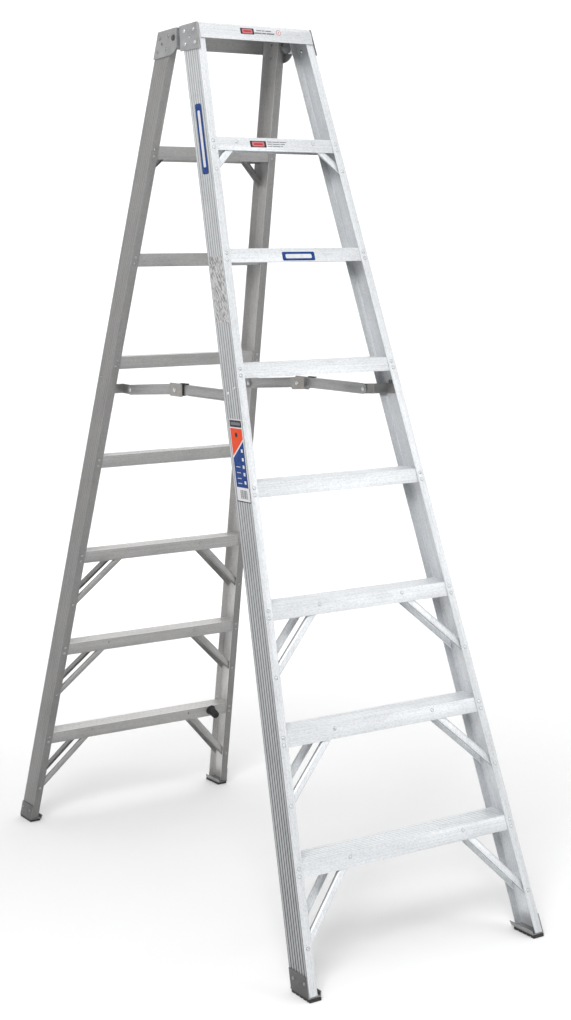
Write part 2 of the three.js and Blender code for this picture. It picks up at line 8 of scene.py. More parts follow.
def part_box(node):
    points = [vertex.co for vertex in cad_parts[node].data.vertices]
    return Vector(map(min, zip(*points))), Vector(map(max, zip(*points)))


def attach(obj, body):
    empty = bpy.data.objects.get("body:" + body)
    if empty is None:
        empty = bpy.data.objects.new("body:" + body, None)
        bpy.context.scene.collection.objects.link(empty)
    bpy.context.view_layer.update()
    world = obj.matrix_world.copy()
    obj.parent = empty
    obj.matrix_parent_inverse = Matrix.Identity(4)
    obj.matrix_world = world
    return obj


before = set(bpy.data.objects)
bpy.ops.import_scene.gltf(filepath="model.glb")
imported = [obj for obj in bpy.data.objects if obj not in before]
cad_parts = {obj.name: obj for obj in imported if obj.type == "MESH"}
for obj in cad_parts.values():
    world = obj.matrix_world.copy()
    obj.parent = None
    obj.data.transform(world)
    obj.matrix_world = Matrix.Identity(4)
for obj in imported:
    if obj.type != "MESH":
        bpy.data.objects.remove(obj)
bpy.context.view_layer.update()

MM = 0.001
FRONT, REAR = -1, 1
LEFT, RIGHT = -1, 1
SECTIONS = (FRONT, REAR)
SIDES = (LEFT, RIGHT)
SECTION_NAME = {FRONT: "front", REAR: "rear"}
SIDE_NAME = {LEFT: "left", RIGHT: "right"}
SECTION_BODY = {FRONT: "front_section", REAR: "rear_section"}

# Spreader pivots in millimetres, (y, z)
FRONT_PIVOT = (-298, 1374)
REAR_PIVOT = (297, 1365)
MIDDLE = (0, 1380)

# Extrusion sizes shared with the CAD model
WEB_DEPTH = 76 * MM
FLANGE_WIDTH = 22.8 * MM
STEPS = range(1, 8)


# ---------------------------------------------------------------- places

def section_geometry():
    """Slope, taper and foot size of the leaning sections, from the CAD boxes."""
    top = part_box("step_front_1")
    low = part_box("step_front_7")
    lean = (top[0].y - low[0].y) / (top[0].z - low[0].z)
    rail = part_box("rail_front_left")
    wide, narrow = -rail[0].x, FLANGE_WIDTH - rail[1].x
    taper = (wide - narrow) / (rail[1].z - rail[0].z)
    foot = -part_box("tread_front_left")[0].y
    return lean, taper, foot, wide + taper * rail[0].z


LEAN, TAPER, FOOT_Y, FOOT_HALF = section_geometry()
SLOPE = math.atan(LEAN)


def tread_top(step):
    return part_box(f"step_front_{step}")[1].z


def half_width(z):
    return FOOT_HALF - TAPER * z


def plane_y(section, depth, z):
    return section * (FOOT_Y - LEAN * z - depth / math.cos(SLOPE))


def on_face(section, x, depth, z):
    """Point on a plane parallel to a section's outer face, depth in from it."""
    return Vector((x, plane_y(section, depth, z), z))


def on_flange(section, side, inset, z, depth=0.0):
    return on_face(section, side * (half_width(z) - inset), depth, z)


def on_web(side, y, z, proud=0.0):
    return Vector((side * (half_width(z) + proud), y, z))


def face_normal(section, outward=True):
    n = Vector((0, section * math.cos(SLOPE), math.sin(SLOPE)))
    return n if outward else -n


def web_normal(side):
    return Vector((side, 0, TAPER)).normalized()


def rail_axis(section, side):
    return Vector((-side * TAPER, -section * LEAN, 1)).normalized()


# ---------------------------------------------------------------- materials

class Nodes:
    """Short hand for building a material's node tree."""

    def __init__(self, name):
        self.material = bpy.data.materials.new(name)
        self.material.use_nodes = True
        self.tree = self.material.node_tree
        self.shader = self.tree.nodes["Principled BSDF"]

    def add(self, kind, **settings):
        node = self.tree.nodes.new(kind)
        for key, value in settings.items():
            setattr(node, key, value)
        return node

    def link(self, source, target):
        self.tree.links.new(source, target)

    def set(self, **values):
        for key, value in values.items():
            self.shader.inputs[key.replace("_", " ")].default_value = value

    def coordinates(self, direction=None, stretch=(1, 1, 1)):
        """Object coordinates turned so that X runs along a direction, then stretched."""
        coord = self.add("ShaderNodeTexCoord")
        source = coord.outputs["Object"]
        if direction is not None:
            turn = self.add("ShaderNodeMapping", vector_type="POINT")
            q = Vector(direction).rotation_difference(Vector((1, 0, 0)))
            turn.inputs["Rotation"].default_value = q.to_euler()
            self.link(source, turn.inputs["Vector"])
            source = turn.outputs["Vector"]
        scale = self.add("ShaderNodeMapping", vector_type="POINT")
        scale.inputs["Scale"].default_value = stretch
        self.link(source, scale.inputs["Vector"])
        return scale.outputs["Vector"]

    def noise(self, vector, scale, detail=3.0, roughness=0.55):
        node = self.add("ShaderNodeTexNoise")
        node.inputs["Scale"].default_value = scale
        node.inputs["Detail"].default_value = detail
        node.inputs["Roughness"].default_value = roughness
        self.link(vector, node.inputs["Vector"])
        return node.outputs["Fac"]

    def ramp(self, fac, stops):
        node = self.add("ShaderNodeValToRGB")
        elements = node.color_ramp.elements
        while len(elements) < len(stops):
            elements.new(0.5)
        for element, (place, colour) in zip(elements, stops):
            element.position = place
            element.color = (*colour, 1) if len(colour) == 3 else colour
        self.link(fac, node.inputs["Fac"])
        return node.outputs["Color"]

    def remap(self, fac, low, high, from_low=0.3, from_high=0.7):
        node = self.add("ShaderNodeMapRange")
        node.inputs["From Min"].default_value = from_low
        node.inputs["From Max"].default_value = from_high
        node.inputs["To Min"].default_value = low
        node.inputs["To Max"].default_value = high
        self.link(fac, node.inputs["Value"])
        return node.outputs["Result"]

    def multiply(self, a, b):
        node = self.add("ShaderNodeMix", data_type="RGBA", blend_type="MULTIPLY")
        node.inputs[0].default_value = 1.0
        self.link(a, node.inputs[6])
        self.link(b, node.inputs[7])
        return node.outputs[2]

    def math(self, operation, a, b):
        node = self.add("ShaderNodeMath", operation=operation)
        self.link(a, node.inputs[0])
        if isinstance(b, float):
            node.inputs[1].default_value = b
        else:
            self.link(b, node.inputs[1])
        return node.outputs[0]

    def dot(self, vector, other):
        node = self.add("ShaderNodeVectorMath", operation="DOT_PRODUCT")
        self.link(vector, node.inputs[0])
        node.inputs[1].default_value = other
        return node.outputs["Value"]

    def blend(self, fac, a, b):
        """Value a where fac is 0, b where it is 1."""
        node = self.add("ShaderNodeMix", data_type="FLOAT")
        self.link(fac, node.inputs[0])
        for socket, value in ((node.inputs[2], a), (node.inputs[3], b)):
            if isinstance(value, float):
                socket.default_value = value
            else:
                self.link(value, socket)
        return node.outputs[0]

    def bump(self, height, strength, distance=0.0004, after=None):
        node = self.add("ShaderNodeBump")
        node.inputs["Strength"].default_value = strength
        node.inputs["Distance"].default_value = distance
        self.link(height, node.inputs["Height"])
        if after is not None:
            self.link(after, node.inputs["Normal"])
        return node.outputs["Normal"]


METALNESS = 0.5

# Painted light and shade on the aluminium's faces, as tones by section. A pair is (at the foot, at
# LADDER_RISE metres), but a tread's is (between its ribs, on them).
LADDER_RISE = 2.1
# Painted shade: the outer webs darken toward the foot.
FOOT_SHADE = {FRONT: (0.5, 0.93), REAR: (0.7, 0.92)}
# Painted shade in the web's grooves, deeper toward the foot.
GROOVE_SHADE = {FRONT: (0.28, 0.62), REAR: (0.9, 0.92)}
# Painted shade on the flanges: the rear's darker, more so toward the foot.
FLANGE_SHADE = {FRONT: (0.95, 1.0), REAR: (0.56, 0.74)}
# Painted light and shade on the webs' inner faces: the front's darkened toward the top, the rear's
# painted lighter.
INNER_WEB_PAINTED_LIGHT = {FRONT: (1.0, 0.78), REAR: (1.9, 1.55)}
# Painted light and shade on the far flanges' inner faces: the front's darkened, the rear's painted
# lighter.
FAR_FLANGE_PAINTED_LIGHT = {FRONT: (0.86, 0.7), REAR: (2.2, 1.1)}
# Painted light on the treads: shade between the ribs, highlight on them, the rear treads painted
# lighter overall.
TREAD_PAINTED_LIGHT = {FRONT: (0.72, 1.2), REAR: (1.3, 2.6)}
# Painted shade on faces turned downward.
UNDERSIDE_SHADE = 0.55
# Height below which the grooves' painted shade is deepest.
GROOVE_SHADE_FROM = 0.3

# Where a tread's ribs and a web's grooves lie
RIB_PITCH = 10.52 * MM
FIRST_RIB_GROOVE = 3.04 * MM
WEB_GROOVE_PITCH = WEB_DEPTH / 7

# Where the cap's hinge lugs get painted shade, in metres: their reach from the fold line and the
# deck's underside
LUG_REACH = (0.05, 0.07)
DECK_UNDERSIDE = (2.336, 2.339)
# Painted shade on the lugs under the cap.
LUG_SHADE = 0.3

# Linear grey and warmth of each section's aluminium; the rear's darker, warmer grey is painted
# shade
ALUMINIUM = {FRONT: (0.79, -0.026), REAR: (0.37, 0.012)}


def grey(value, warm=0.0):
    return (value * (1 + warm), value, value * (1 - warm))


def tread_light_and_shade(n, section):
    """Painted shade between a tread's ribs, a painted highlight on the rib tops, and painted shade
    on the underside.
    """
    coord = n.add("ShaderNodeTexCoord")
    across = n.dot(coord.outputs["Object"], (0, -section, -LEAN))
    depth = n.math("ADD", across, FOOT_Y - FIRST_RIB_GROOVE)
    near = n.math("PINGPONG", depth, RIB_PITCH / 2)
    # Painted shade between the ribs, painted highlight on them.
    line = n.remap(near, TREAD_PAINTED_LIGHT[section][0], TREAD_PAINTED_LIGHT[section][1], 0.9 * MM, 2.0 * MM)
    rise = n.dot(coord.outputs["Normal"], (0, 0, 1))
    up = n.remap(rise, 0.0, 1.0, 0.85, 0.95)
    return n.blend(up, underside_shade(n, rise), line)


# Painted shade: faces turned downward are darkened.
def underside_shade(n, rise):
    return n.remap(rise, UNDERSIDE_SHADE, 1.0, -0.75, -0.35)


def cap_shade(n):
    """Painted shade on the cap's hinge lugs, but for their outboard faces, and on its underside."""
    coord = n.add("ShaderNodeTexCoord")
    place, normal = coord.outputs["Object"], coord.outputs["Normal"]
    near_fold = n.remap(n.math("ABSOLUTE", n.dot(place, (0, 1, 0)), 0.0), 1.0, 0.0, *LUG_REACH)
    below_deck = n.remap(n.dot(place, (0, 0, 1)), 1.0, 0.0, *DECK_UNDERSIDE)
    lug = n.math("MULTIPLY", near_fold, below_deck)
    lug = n.math("MULTIPLY", lug, n.remap(outboard(n, coord), 1.0, 0.0, 0.03, 0.1))
    underside = underside_shade(n, n.dot(normal, (0, 0, 1)))
    return n.math("MULTIPLY", n.blend(lug, 1.0, LUG_SHADE), underside)


def outboard(n, coord):
    """Above zero on faces turned away from the ladder's middle, below it on those turned to it."""
    return n.math("MULTIPLY", n.dot(coord.outputs["Object"], (1, 0, 0)),
                  n.dot(coord.outputs["Normal"], (1, 0, 0)))


def plate_inside_shade(n):
    """Painted shade: end plates are darker on their inboard faces."""
    coord = n.add("ShaderNodeTexCoord")
    return n.remap(outboard(n, coord), 0.4, 1.0, -0.08, 0.0)


def brace_side_shade(n):
    """Painted light and shade: a brace's front is painted bright; its sides and hollow back are
    darkened.
    """
    coord = n.add("ShaderNodeTexCoord")
    front = n.dot(coord.outputs["Normal"], tuple(face_normal(FRONT)))
    return n.remap(front, 0.55, 1.05, 0.3, 0.8)


def extruded_aluminium(name, direction, level, warm=0.0, rail=None, treads=None, tone=None,
                       metalness=METALNESS):
    """Mill-finish extrusion: long die lines, fine grain, handling smudges and a little oxide; the
    rail, treads and tone masks multiply in painted light and shade.
    """
    n = Nodes(name)
    die = n.noise(n.coordinates(direction, (0.8, 110, 110)), 4.0, 4.0, 0.65)
    smudge = n.noise(n.coordinates(direction, (2.5, 10, 10)), 2.4, 5.0, 0.62)
    grain = n.noise(n.coordinates(direction, (0.45, 1, 1)), 330.0, 3.0, 0.7)
    lines = n.ramp(die, [(0.3, grey(level * 0.88, warm)), (0.5, grey(level, warm)),
                         (0.7, grey(min(1, level * 1.06), warm))])
    wear = n.ramp(smudge, [(0.34, grey(0.9)), (0.48, grey(0.98)), (0.62, grey(1.0))])
    speck = n.ramp(grain, [(0.36, grey(0.86)), (0.5, grey(0.98)), (0.62, grey(1.04))])
    colour = n.multiply(n.multiply(lines, wear), speck)
    if rail is not None:
        colour = n.multiply(colour, web_light_and_shade(n, *rail))
    if treads is not None:
        colour = n.multiply(colour, tread_light_and_shade(n, treads))
    if tone is not None:
        colour = n.multiply(colour, tone(n))
    n.link(colour, n.shader.inputs["Base Color"])
    n.link(n.remap(smudge, 0.5, 0.36), n.shader.inputs["Roughness"])
    fine = n.bump(grain, 0.12, 0.0004)
    n.link(n.bump(die, 0.25, 0.0004, fine), n.shader.inputs["Normal"])
    n.set(Metallic=metalness)
    return n.material


def web_light_and_shade(n, section, side):
    """Painted shade in the web's grooves and toward the foot, with separate painted light and shade
    tones for the web's two sides and for the flanges."""
    coord = n.add("ShaderNodeTexCoord")
    place, normal = coord.outputs["Object"], coord.outputs["Normal"]
    across = n.dot(place, (0, -section * math.cos(SLOPE), -math.sin(SLOPE)))
    depth = n.math("ADD", across, FOOT_Y * math.cos(SLOPE))
    near = n.math("PINGPONG", depth, WEB_GROOVE_PITCH / 2)
    height = n.dot(place, (0, 0, 1))
    # Painted shade in the grooves, its depth set by height.
    groove = n.remap(near, 0.0, 1.0, 1.3 * MM, 2.6 * MM)
    floor = n.remap(height, *GROOVE_SHADE[section], GROOVE_SHADE_FROM, LADDER_RISE)
    lines = n.math("MAXIMUM", groove, floor)
    # Painted shade, darker toward the foot.
    foot_shade = n.remap(height, *FOOT_SHADE[section], 0.0, LADDER_RISE)
    outer = n.math("MULTIPLY", lines, foot_shade)
    turned_to = n.dot(normal, (side, 0, 0))
    # Painted shade on the flanges, by height and section.
    flange = n.remap(height, *FLANGE_SHADE[section], 0.0, LADDER_RISE)
    # Painted light and shade on the inner web.
    inner_web = n.remap(height, *INNER_WEB_PAINTED_LIGHT[section], 0.0, LADDER_RISE)
    # Painted light and shade on the far flange's inner face, inside the rail's hollow.
    far_flange = n.remap(height, *FAR_FLANGE_PAINTED_LIGHT[section], 0.0, LADDER_RISE)
    far = n.remap(depth, 0.0, 1.0, 30 * MM, 50 * MM)
    if section == REAR:
        far = n.remap(depth, 1.0, 0.0, 30 * MM, 50 * MM)
    hollow = n.math("MULTIPLY", far, n.remap(n.dot(normal, (0, -1, 0)), 0.0, 1.0, 0.5, 0.7))
    flange = n.blend(hollow, flange, far_flange)
    tone = n.blend(n.remap(turned_to, 0.0, 1.0, 0.5, 0.7), flange, outer)
    return n.blend(n.remap(turned_to, 1.0, 0.0, -0.7, -0.5), tone, inner_web)


def shoe_painted_light(n):
    """Painted light: a shoe's outboard plate keeps its dark tone; its floor and toe are painted
    brighter.
    """
    coord = n.add("ShaderNodeTexCoord")
    return n.remap(outboard(n, coord), 2.6, 1.0, 0.0, 0.15)


def stamped_metal(name, level, warm=0.0, roughness=(0.3, 0.5), tone=None):
    """Plated or rolled sheet: fine crystalline mottling and faint handling marks; the tone mask
    multiplies in painted light and shade.
    """
    n = Nodes(name)
    place = n.coordinates(None)
    grain = n.noise(place, 420.0, 3.0)
    patch = n.noise(place, 45.0, 3.0)
    mottle = n.ramp(patch, [(0.3, grey(level * 0.82, warm)), (0.7, grey(level * 1.06, warm))])
    speck = n.ramp(grain, [(0.35, grey(0.86)), (0.55, grey(1.0))])
    colour = n.multiply(mottle, speck)
    if tone is not None:
        colour = n.multiply(colour, tone(n))
    n.link(colour, n.shader.inputs["Base Color"])
    n.link(n.remap(patch, roughness[0], roughness[1]), n.shader.inputs["Roughness"])
    n.link(n.bump(grain, 0.25, 0.0003), n.shader.inputs["Normal"])
    n.set(Metallic=0.7)
    return n.material


def moulded(name, colour, roughness=(0.45, 0.7), bump=0.3):
    """Rubber or plastic with a fine moulded grain and dusty patches."""
    n = Nodes(name)
    place = n.coordinates(None)
    grain = n.noise(place, 900.0, 2.0)
    dust = n.noise(place, 60.0, 4.0)
    light = tuple(min(1.0, c * 1.5 + 0.01) for c in colour)
    n.link(n.ramp(dust, [(0.4, colour), (0.75, light)]), n.shader.inputs["Base Color"])
    n.link(n.remap(dust, roughness[0], roughness[1]), n.shader.inputs["Roughness"])
    n.link(n.bump(grain, bump, 0.0003), n.shader.inputs["Normal"])
    return n.material


def printed(name, colour):
    """Printed vinyl: flat ink with a slight orange-peel surface."""
    n = Nodes(name)
    place = n.coordinates(None)
    peel = n.noise(place, 700.0, 2.0)
    fade = n.noise(place, 70.0, 3.0)
    faded = tuple(c * 0.86 + 0.03 for c in colour)
    n.link(n.ramp(fade, [(0.35, faded), (0.6, colour)]), n.shader.inputs["Base Color"])
    n.link(n.remap(fade, 0.55, 0.42), n.shader.inputs["Roughness"])
    n.set(Specular_IOR_Level=0.15)
    n.link(n.bump(peel, 0.08, 0.0002), n.shader.inputs["Normal"])
    return n.material


def etched(name):
    """Brushed patch: pale grey with short dark strokes slanting across it."""
    n = Nodes(name)
    place = n.coordinates((0, 0.75, 1), (0.16, 1, 1))
    speck = n.noise(place, 300.0, 2.0, 0.6)
    n.link(n.ramp(speck, [(0.42, grey(0.3)), (0.52, grey(0.66))]), n.shader.inputs["Base Color"])
    n.link(n.remap(speck, 0.75, 0.5), n.shader.inputs["Roughness"])
    n.link(n.bump(speck, 0.3, 0.0002), n.shader.inputs["Normal"])
    n.set(Metallic=0.7)
    return n.material


INKS = {
    "ink_red": (0.4, 0.03, 0.03),
    "ink_rose": (0.5, 0.16, 0.17),
    "ink_dark": (0.025, 0.025, 0.035),
    "ink_grey": (0.16, 0.16, 0.18),
    "ink_blue": (0.003, 0.04, 0.2),
    "ink_orange": (0.72, 0.065, 0.012),
    "ink_white": (0.66, 0.66, 0.68),
}


def paint(obj, material):
    obj.data.materials.clear()
    obj.data.materials.append(material)


# ---------------------------------------------------------------- CAD nodes

def soften(obj, width, segments=2):
    """Small rolled edges on a CAD node, as a modifier."""
    weld = obj.modifiers.new("weld", "WELD")
    weld.merge_threshold = 0.02 * MM
    flat = obj.modifiers.new("flat", "DECIMATE")
    flat.decimate_type = "DISSOLVE"
    flat.angle_limit = math.radians(0.5)
    bevel = obj.modifiers.new("edges", "BEVEL")
    bevel.width = width
    bevel.segments = segments
    bevel.limit_method = "ANGLE"
    bevel.angle_limit = math.radians(35)
    bevel.use_clamp_overlap = True
    bevel.harden_normals = True


def dress(name, material, edge):
    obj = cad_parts[name]
    paint(obj, material)
    obj.data.shade_smooth()
    soften(obj, edge)
    return obj


def make_materials():
    made = {}
    for section in SECTIONS:
        # The rear section's rails, steps, cap and rivets take its darker level, painted shade.
        level, warm = ALUMINIUM[section]
        for side in SIDES:
            key = f"rail_{SECTION_NAME[section]}_{SIDE_NAME[side]}"
            axis = rail_axis(section, side)
            made[key] = extruded_aluminium(key, axis, level, warm, rail=(section, side))
        key = f"across_{SECTION_NAME[section]}"
        made[key] = extruded_aluminium(key, (1, 0, 0), level, warm, treads=section)
        key = f"cap_{SECTION_NAME[section]}"
        made[key] = extruded_aluminium(key, (1, 0, 0), level, warm, tone=cap_shade)
        made[f"rivet_{SECTION_NAME[section]}"] = stamped_metal(
            f"rivet_{SECTION_NAME[section]}", level, warm, (0.22, 0.38))
    made["brace_outer"] = extruded_aluminium("brace_outer", (0, 0, 1), 0.8, -0.026, tone=brace_side_shade)
    # Painted light: the inner braces' aluminium is lighter, to lift the shade in their hollows.
    made["brace_inner_lit"] = extruded_aluminium("brace_inner_lit", (0, 0, 1), 0.95, -0.02, metalness=0.15)
    made["plated"] = stamped_metal("plated", 0.13)
    made["shoe"] = stamped_metal("shoe", 0.13, tone=shoe_painted_light)
    made["shoe_rivet"] = stamped_metal("shoe_rivet", 0.3)
    made["cap_plate"] = stamped_metal("cap_plate", 0.46, -0.01, tone=plate_inside_shade)
    made["spreader"] = stamped_metal("spreader", 0.3, 0.01)
    for section, pivot in ((FRONT, FRONT_PIVOT), (REAR, REAR_PIVOT)):
        key = f"link_{SECTION_NAME[section]}"
        along = (0, pivot[0] - MIDDLE[0], pivot[1] - MIDDLE[1])
        made[key] = extruded_aluminium(key, along, 0.4)
    made["clip"] = stamped_metal("clip", 0.4, 0.05)
    made["rubber"] = moulded("rubber", (0.012, 0.012, 0.012), (0.4, 0.65))
    made["black_plastic"] = moulded("black_plastic", (0.006, 0.006, 0.006), (0.45, 0.6), 0.15)
    # Painted shade: dark discs for the insides of bores and hollows.
    made["hole_shade"] = moulded("hole_shade", (0.01, 0.01, 0.01), (0.7, 0.9))
    # Painted contact shadow: the dark rings round rivet heads.
    made["contact_shade"] = stamped_metal("contact_shade", 0.2, 0.02, (0.6, 0.8))
    made["etched"] = etched("etched")
    for name, colour in INKS.items():
        made[name] = printed(name, colour)
    return made


MATERIAL = make_materials()


def dress_cad_nodes():
    for section in SECTIONS:
        name = SECTION_NAME[section]
        across = MATERIAL[f"across_{name}"]
        for side in SIDES:
            s = SIDE_NAME[side]
            dress(f"rail_{name}_{s}", MATERIAL[f"rail_{name}_{s}"], 0.6 * MM)
            dress(f"end_plate_{name}_{s}", MATERIAL["cap_plate"], 0.8 * MM)
            dress(f"spreader_bracket_{name}_{s}", MATERIAL["spreader"], 0.6 * MM)
            dress(f"spreader_link_{name}_{s}", MATERIAL[f"link_{name}"], 0.5 * MM)
            dress(f"shoe_{name}_{s}", MATERIAL["shoe"], 0.7 * MM)
            dress(f"tread_{name}_{s}", MATERIAL["rubber"], 0.8 * MM)
        for step in STEPS:
            dress(f"step_{name}_{step}", across, 0.6 * MM)
        dress(f"cap_{name}", MATERIAL[f"cap_{name}"], 0.8 * MM)
    for side in SIDES:
        s = SIDE_NAME[side]
        dress(f"hinge_pin_{s}", MATERIAL["plated"], 0.8 * MM)
        dress(f"spreader_clip_outer_{s}", MATERIAL["clip"], 0.5 * MM)
    dress("bumper", MATERIAL["rubber"], 1.2 * MM)
    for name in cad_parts:
        if name.startswith("brace_front"):
            look = "brace_inner_lit" if "inner" in name else "brace_outer"
            dress(name, MATERIAL[look], 0.5 * MM)


dress_cad_nodes()


# ---------------------------------------------------------------- piece building

def new_piece(name, bm, material, body, smooth_angle=40):
    mesh = bpy.data.meshes.new(name)
    bmesh.ops.recalc_face_normals(bm, faces=bm.faces)
    bm.to_mesh(mesh)
    bm.free()
    obj = bpy.data.objects.new(name, mesh)
    bpy.context.scene.collection.objects.link(obj)
    paint(obj, material)
    mesh.shade_smooth()
    mesh.set_sharp_from_angle(angle=math.radians(smooth_angle))
    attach(obj, body)
    return obj


def facing(normal, up=(0, 0, 1)):
    """Rotation whose Z is the normal and whose Y is as near to up as it can be."""
    z = Vector(normal).normalized()
    y = Vector(up) - z * Vector(up).dot(z)
    if y.length < 1e-6:
        y = Vector((0, 1, 0)) - z * z.y
    y.normalize()
    x = y.cross(z)
    return Matrix((x, y, z)).transposed()


def turned(bm, point, normal, profile, segments=20, closed=True):
    """Surface of revolution: (radius, height) pairs about a normal at a point.

    Closed ends are capped; otherwise the last pair joins the first as a ring."""
    turn = facing(normal)
    rings = []
    for radius, height in profile:
        if radius == 0:
            rings.append([bm.verts.new(point + turn @ Vector((0, 0, height)))])
            continue
        ring = []
        for i in range(segments):
            a = 2 * math.pi * i / segments
            local = Vector((radius * math.cos(a), radius * math.sin(a), height))
            ring.append(bm.verts.new(point + turn @ local))
        rings.append(ring)
    pairs = list(zip(rings, rings[1:]))
    if not closed:
        pairs.append((rings[-1], rings[0]))
    for low, high in pairs:
        for i in range(segments):
            j = (i + 1) % segments
            if len(high) == 1:
                bm.faces.new((low[i], low[j], high[0]))
            elif len(low) == 1:
                bm.faces.new((low[0], high[j], high[i]))
            else:
                bm.faces.new((low[i], low[j], high[j], high[i]))
    for ring, flip in ((rings[0], True), (rings[-1], False)):
        if closed and len(ring) > 1:
            bm.faces.new(ring[::-1] if flip else ring)


def dome(radius, height, flange=0.0):
    """Profile of a rivet's head, from below its seat to its crown."""
    steps = 5
    profile = [(radius + flange, -0.3 * MM), (radius + flange, 0.35 * MM)]
    for i in range(steps + 1):
        a = math.pi / 2 * i / steps
        profile.append((radius * math.cos(a), 0.35 * MM + (height - 0.35 * MM) * math.sin(a)))
    profile[-1] = (0, height)
    return profile


RIVET_HEAD = dome(4.4 * MM, 2.0 * MM)
BIG_RIVET = dome(5.2 * MM, 2.4 * MM)


def rivets(name, places, section, head=RIVET_HEAD, look=None):
    bm = bmesh.new()
    # Each head sits on a dark ring, a painted contact shadow.
    shade_rings = bmesh.new()
    seat = head[0][0] + 0.6 * MM
    for point, normal in places:
        turned(bm, point, normal, head)
        turned(shade_rings, point, normal, [(seat, -0.2 * MM), (seat, 0.12 * MM)])
    new_piece(f"{name}_seats", shade_rings, MATERIAL["contact_shade"], SECTION_BODY[section])
    return new_piece(name, bm, MATERIAL[look or f"rivet_{SECTION_NAME[section]}"],
                     SECTION_BODY[section])


# ---------------------------------------------------------------- rivets

STEP_RIVET_INSET = 11.5 * MM
STEP_RIVET_DROPS = (11 * MM, 28 * MM)
LIP_FACE = 2.9 * MM
CAP_LIP_FACE = -3.3 * MM
BRACE_TOP = {1: 118 * MM, 5: 125.5 * MM, 6: 148 * MM, 7: 170.8 * MM}
BRACE_FOOT_DROP = {1: 85 * MM, 5: 165 * MM, 6: 164 * MM, 7: 184 * MM}
BRACE_TOP_DROP = 12 * MM
WEB_INSIDE = -2.4 * MM
PLATE_FACE = 2.8 * MM
PLATE_RIVETS = ((45.5, 2328), (95, 2327), (54, 2293), (106, 2292))
PLATE_EYELET = (79, 2310)
SHOE_RIVETS = ((772, 36), (820, 38))


def face_depth(inner):
    return WEB_DEPTH if inner else 0.0


def step_end_places(section):
    places = []
    for inner in (False, True):
        for side in SIDES:
            for step in STEPS:
                for drop in STEP_RIVET_DROPS:
                    z = tread_top(step) - drop
                    point = on_flange(section, side, STEP_RIVET_INSET, z, face_depth(inner))
                    places.append((point, face_normal(section, not inner)))
    return places


def brace_places(section):
    places = []
    for step, x in BRACE_TOP.items():
        top = tread_top(step) - BRACE_TOP_DROP
        foot = tread_top(step) - BRACE_FOOT_DROP[step]
        for inner in ((False,) if step == 1 else (False, True)):
            lip = WEB_DEPTH - LIP_FACE if inner else LIP_FACE
            flange = face_depth(inner)
            normal = face_normal(section, not inner)
            for side in SIDES:
                places.append((on_face(section, side * x, lip, top), normal))
                places.append((on_flange(section, side, STEP_RIVET_INSET, foot, flange), normal))
    return places


def web_places(section, spots, proud, outward=True):
    """Rivet places on both rails' webs, their (|y|, z) given in millimetres."""
    places = []
    for side in SIDES:
        normal = web_normal(side) if outward else -web_normal(side)
        for y, z in spots:
            places.append((on_web(side, section * y * MM, z * MM, proud), normal))
    return places


def eyelets(section):
    """Hollow rivet in each end plate: a rolled ring round a dark disc, painted shade for its bore.
    """
    name = SECTION_NAME[section]
    ring = [(3.4 * MM, -0.2 * MM), (5.0 * MM, -0.2 * MM), (5.0 * MM, 0.5 * MM),
            (4.5 * MM, 0.9 * MM), (3.9 * MM, 0.8 * MM), (3.4 * MM, 0.1 * MM)]
    bm = bmesh.new()
    dark = bmesh.new()
    for point, normal in web_places(section, (PLATE_EYELET,), PLATE_FACE):
        turned(bm, point, normal, ring, closed=False)
        turned(dark, point, normal, [(3.5 * MM, -0.1 * MM), (3.5 * MM, 0.3 * MM)])
    body = SECTION_BODY[section]
    new_piece(f"cap_eyelets_{name}", bm, MATERIAL[f"rivet_{name}"], body)
    new_piece(f"cap_eyelet_bore_shades_{name}", dark, MATERIAL["hole_shade"], body)


for section in SECTIONS:
    name = SECTION_NAME[section]
    rivets(f"step_rivets_{name}", step_end_places(section), section)
    rivets(f"brace_rivets_{name}", brace_places(section), section)
    rivets(f"cap_rivets_{name}", web_places(section, PLATE_RIVETS, PLATE_FACE), section, BIG_RIVET)
    tails = web_places(section, PLATE_RIVETS, WEB_INSIDE, outward=False)
    rivets(f"cap_rivet_tails_{name}", tails, section)
    rivets(f"shoe_rivets_{name}", web_places(section, SHOE_RIVETS, PLATE_FACE), section,
           look="shoe_rivet")
    eyelets(section)


# ---------------------------------------------------------------- spreaders

PIVOT_HEAD = [(6 * MM, -0.2 * MM), (6 * MM, 0.8 * MM), (5.4 * MM, 1.5 * MM), (4.2 * MM, 2.3 * MM),
              (2.2 * MM, 2.8 * MM), (0, 2.9 * MM)]
NUT_FLATS = 6

# |x| of the spreaders' faces in millimetres
FRONT_BRACKET_FACES = (204.7, 199.4)
REAR_BRACKET_FACES = (193.8, 199.1)
OUTER_CLIP_FACE = 204.2
INNER_CLIP_FACES = (188.6, 190.4)
GUARD_TOP_FACES = (199.6, 208.4)
GUARD_EDGE_FACES = (202.1, 205.2)
CLIP_RIVET = (18, -2)

# |y| and z of the rivets and nuts that hold the brackets to the webs, in millimetres
BRACKET_RIVETS = {FRONT: ((382, 1401), (350, 1387)), REAR: ((352, 1390), (382, 1400))}
BRACKET_NUT = {FRONT: (366, 1394), REAR: (352, 1390)}
BRACKET_INSIDE = -5.2 * MM


def nut(radius, height):
    return [(radius, -0.2 * MM), (radius, height * 0.8), (radius * 0.86, height), (0, height)]


def plate_spot(side, spot, x):
    """Point on a spreader plate's face, the plate's |x| and the spot in millimetres."""
    return Vector((side * x, spot[0], spot[1])) * MM


def steel_heads(name, places, head, body, segments=20, look="plated"):
    bm = bmesh.new()
    for point, normal in places:
        turned(bm, point, normal, head, segments)
    return new_piece(name, bm, MATERIAL[look], body)


